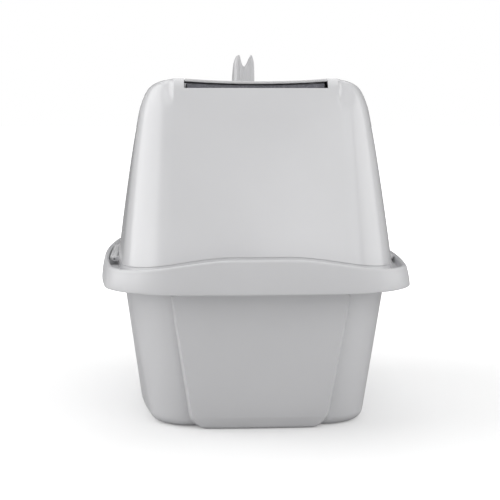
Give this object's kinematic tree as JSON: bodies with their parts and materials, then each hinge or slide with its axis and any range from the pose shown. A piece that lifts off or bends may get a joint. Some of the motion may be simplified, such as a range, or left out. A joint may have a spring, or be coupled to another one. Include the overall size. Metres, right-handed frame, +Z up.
{
  "type": "hooded cat litter box",
  "caption": "Deep litter pan with a wide rim and a lift-off hood with swing door, roof filter bay, carry handle, side latches and bag anchor.",
  "frame": {"origin": "centre of the underside of the whole box", "axes": "+Z up, +Y towards the entrance end, +X to the right seen from the back end"},
  "size_m": [0.39, 0.56, 0.462],
  "materials": {
    "pan_plastic": "satin",
    "hood_plastic": "gloss",
    "fitting_plastic": "satin",
    "door_plastic": "translucent smoke",
    "filter_carbon": "matt felt",
    "pin_steel": "plain"
  },
  "bodies": {
    "pan": {"litter_pan": "pan_plastic"},
    "hood": {"hood_shell": "hood_plastic", "roof_insert": "fitting_plastic", "carbon_filter": "filter_carbon", "filter_grille": "fitting_plastic", "filter_cover_pin": "pin_steel", "bag_anchor": "fitting_plastic", "anchor_screws": "pin_steel", "entrance_frame": "fitting_plastic", "frame_screws": "pin_steel", "latch_pin_left": "pin_steel", "latch_pin_right": "pin_steel"},
    "cover": {"filter_cover": "hood_plastic"},
    "handle": {"carry_handle": "fitting_plastic", "handle_pins": "pin_steel"},
    "door": {"door_flap": "door_plastic", "door_pins": "pin_steel"},
    "latch_l": {"latch_left": "fitting_plastic"},
    "latch_r": {"latch_right": "fitting_plastic"}
  },
  "joints": [
    {"name": "hood_lift", "type": "slide", "parent": "pan", "child": "hood", "axis": [0, 0, 1], "range_m": [0, 0.26]},
    {"name": "cover_hinge", "type": "hinge", "parent": "hood", "child": "cover", "pos_m": [0, -0.028, 0.4156], "axis": [-1, 0, 0], "range_deg": [0, 95]},
    {"name": "handle_pivot", "type": "hinge", "parent": "hood", "child": "handle", "pos_m": [0, 0.004, 0.4122], "axis": [1, 0, 0], "range_deg": [0, 90]},
    {"name": "door_swing", "type": "hinge", "parent": "hood", "child": "door", "pos_m": [0, 0.243, 0.35], "axis": [1, 0, 0], "range_deg": [-75, 75]},
    {"name": "latch_left_hinge", "type": "hinge", "parent": "hood", "child": "latch_l", "pos_m": [-0.177, 0, 0.1935], "axis": [0, 1, 0], "range_deg": [0, 70]},
    {"name": "latch_right_hinge", "type": "hinge", "parent": "hood", "child": "latch_r", "pos_m": [0.177, 0, 0.1935], "axis": [0, -1, 0], "range_deg": [0, 70]}
  ]
}
